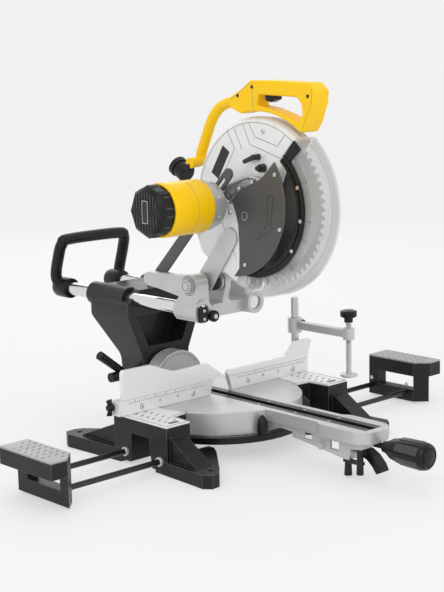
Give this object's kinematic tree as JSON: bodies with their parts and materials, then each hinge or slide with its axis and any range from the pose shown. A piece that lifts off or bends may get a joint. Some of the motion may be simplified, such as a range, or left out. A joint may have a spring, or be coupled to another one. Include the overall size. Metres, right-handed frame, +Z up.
{
  "type": "sliding miter saw",
  "caption": "Bench miter saw with a sliding, tilting head, swinging table, split fence, clear blade guard, side supports and a work clamp.",
  "frame": {"origin": "on the bench plane, on the turntable's axis", "axes": "+X to the operator's right, along the extension supports, +Y to the rear along the rails, +Z up"},
  "size_m": [1.04, 0.9512, 0.705],
  "materials": {
    "black_casting": "satin black powder coat on cast aluminium",
    "grey_casting": "dark grey painted casting",
    "silver_casting": "light grey cast aluminium, bead blasted",
    "machined_aluminium": "machined and brushed aluminium",
    "steel": "ground steel",
    "rail_steel": "polished chromed tube",
    "blade_steel": "ground saw plate with carbide teeth",
    "black_plastic": "moulded black nylon",
    "grey_plastic": "moulded dark grey grip",
    "yellow_plastic": "glossy yellow moulded shell",
    "clear_plastic": "clear polycarbonate with moulded ribs",
    "copper": "copper windings and steel laminations"
  },
  "bodies": {
    "base": {"base_frame": "black_casting", "left_table_wing": "machined_aluminium", "right_table_wing": "machined_aluminium", "miter_scale": "black_plastic", "left_fixed_fence": "machined_aluminium", "right_fixed_fence": "machined_aluminium", "pivot_bolt": "steel", "clamp_post": "steel"},
    "left_fence": {"left_sliding_fence": "machined_aluminium"},
    "right_fence": {"right_sliding_fence": "machined_aluminium"},
    "left_fence_knob": {"left_fence_knob": "black_plastic"},
    "right_fence_knob": {"right_fence_knob": "black_plastic"},
    "left_support": {"left_support_frame": "black_casting", "left_support_pad": "silver_casting", "left_front_rod": "steel", "left_rear_rod": "steel"},
    "right_support": {"right_support_frame": "black_casting", "right_support_pad": "silver_casting", "right_front_rod": "steel", "right_rear_rod": "steel"},
    "table": {"turntable": "silver_casting", "left_kerf_insert": "black_plastic", "right_kerf_insert": "black_plastic", "stand_legs": "black_plastic", "bevel_pivot_shaft": "steel"},
    "detent_lever": {"detent_lever": "black_plastic"},
    "miter_lock": {"miter_lock_knob": "grey_plastic"},
    "column": {"column": "grey_casting"},
    "bevel_lever": {"bevel_lock_lever": "black_plastic"},
    "rail_knob": {"rail_lock_knob": "black_plastic"},
    "carriage": {"carriage": "silver_casting", "left_rail": "rail_steel", "right_rail": "rail_steel", "rear_handle": "black_plastic", "stop_block": "black_plastic", "hinge_pin": "steel"},
    "head_lock": {"head_lock_pin": "black_plastic"},
    "head": {"head_arm": "silver_casting", "arbor_bearing": "steel", "cover_plate": "grey_casting", "gear_case": "silver_casting", "upper_guard": "machined_aluminium", "main_handle": "yellow_plastic", "carry_handle": "yellow_plastic", "motor_housing": "yellow_plastic", "motor_end_cap": "black_plastic", "stator": "steel", "motor_bearing": "steel", "return_spring": "steel"},
    "trigger": {"trigger": "black_plastic"},
    "armature": {"armature": "copper"},
    "blade": {"saw_blade": "blade_steel", "arbor_shaft": "steel", "outer_flange": "steel"},
    "lower_guard": {"lower_guard": "clear_plastic", "guard_ring": "black_plastic"},
    "link": {"link_arm": "grey_casting"},
    "clamp_arm": {"clamp_arm": "silver_casting"},
    "clamp_screw": {"clamp_screw": "black_plastic"},
    "clamp_foot": {"clamp_foot": "steel"}
  },
  "joints": [
    {"name": "miter_turn", "type": "hinge", "parent": "base", "child": "table", "pos_m": [0, 0, 0.092], "axis": [0, 0, -1], "range_deg": [-45, 45]},
    {"name": "bevel_tilt", "type": "hinge", "parent": "table", "child": "column", "pos_m": [0, 0.166, 0.092], "axis": [0, -1, 0], "range_deg": [-45, 33.9]},
    {"name": "carriage_slide", "type": "slide", "parent": "column", "child": "carriage", "axis": [0, -1, 0], "range_m": [-0.125, 0.075]},
    {"name": "head_drop", "type": "hinge", "parent": "carriage", "child": "head", "pos_m": [0, -0.005, 0.318], "axis": [1, 0, 0], "range_deg": [0, 74], "stiffness_Nm_per_rad": 14, "springref_deg": -68.75},
    {"name": "lower_guard_open", "type": "hinge", "parent": "head", "child": "lower_guard", "pos_m": [0, -0.129, 0.472], "axis": [1, 0, 0], "range_deg": [-160, 0]},
    {"name": "link_swing", "type": "hinge", "parent": "carriage", "child": "link", "pos_m": [0, 0.13, 0.3145], "axis": [1, 0, 0], "range_deg": [0, 60]},
    {"name": "blade_spin", "type": "hinge", "parent": "head", "child": "blade", "pos_m": [0, -0.129, 0.472], "axis": [1, 0, 0], "continuous": true},
    {"name": "armature_spin", "type": "hinge", "parent": "head", "child": "armature", "pos_m": [0, -0.06294, 0.477], "axis": [1, 0, 0], "continuous": true},
    {"name": "trigger_pull", "type": "slide", "parent": "head", "child": "trigger", "axis": [0, 0, 1], "range_m": [0, 0.0035], "stiffness_N_per_m": 400, "springref_m": -0.002},
    {"name": "head_lock_pull", "type": "slide", "parent": "carriage", "child": "head_lock", "axis": [0, 1, 0], "range_m": [-0.008, 0]},
    {"name": "rail_lock_turn", "type": "hinge", "parent": "column", "child": "rail_knob", "pos_m": [0, 0.2, 0.2883], "axis": [0, 0, 1], "range_deg": [-40, 180]},
    {"name": "bevel_lock_swing", "type": "hinge", "parent": "column", "child": "bevel_lever", "pos_m": [-0.064, 0.196, 0.112], "axis": [1, 0, 0], "range_deg": [-15, 35]},
    {"name": "miter_lock_turn", "type": "hinge", "parent": "table", "child": "miter_lock", "pos_m": [0, -0.42, 0.064], "axis": [0, 1, 0], "range_deg": [0, 180]},
    {"name": "detent_release", "type": "hinge", "parent": "table", "child": "detent_lever", "pos_m": [0, -0.376, 0.0475], "axis": [-1, 0, 0], "range_deg": [0, 9], "stiffness_Nm_per_rad": 2, "springref_deg": -5.73},
    {"name": "left_fence_slide", "type": "slide", "parent": "base", "child": "left_fence", "axis": [1, 0, 0], "range_m": [-0.06, 0]},
    {"name": "right_fence_slide", "type": "slide", "parent": "base", "child": "right_fence", "axis": [1, 0, 0], "range_m": [0, 0.06]},
    {"name": "left_fence_lock", "type": "hinge", "parent": "base", "child": "left_fence_knob", "pos_m": [-0.2593, 0.021, 0.108], "axis": [1, 0, 0], "range_deg": [0, 180]},
    {"name": "right_fence_lock", "type": "hinge", "parent": "base", "child": "right_fence_knob", "pos_m": [0.185, 0.0263, 0.108], "axis": [0, 1, 0], "range_deg": [0, 180]},
    {"name": "left_support_slide", "type": "slide", "parent": "base", "child": "left_support", "axis": [-1, 0, 0], "range_m": [-0.15, 0]},
    {"name": "right_support_slide", "type": "slide", "parent": "base", "child": "right_support", "axis": [1, 0, 0], "range_m": [-0.15, 0]},
    {"name": "clamp_swing", "type": "hinge", "parent": "base", "child": "clamp_arm", "pos_m": [0.235, 0.0218, 0.19], "axis": [0, 0, 1], "range_deg": [-15, 60]},
    {"name": "clamp_screw_turn", "type": "hinge", "parent": "clamp_arm", "child": "clamp_screw", "pos_m": [0.235, -0.1282, 0.19], "axis": [0, 0, -1], "range_deg": [0, 1450]},
    {"name": "clamp_foot_feed", "type": "slide", "parent": "clamp_arm", "child": "clamp_foot", "axis": [0, 0, -1], "range_m": [0, 0.008]}
  ],
  "couplings": [
    {"joint": "lower_guard_open", "follows": "head_drop", "ratio": -2.1},
    {"joint": "link_swing", "follows": "head_drop", "ratio": 0.574},
    {"joint": "armature_spin", "follows": "blade_spin", "ratio": -3.4167},
    {"joint": "clamp_screw_turn", "follows": "clamp_foot_feed", "rad_per_m": 3141.6}
  ]
}
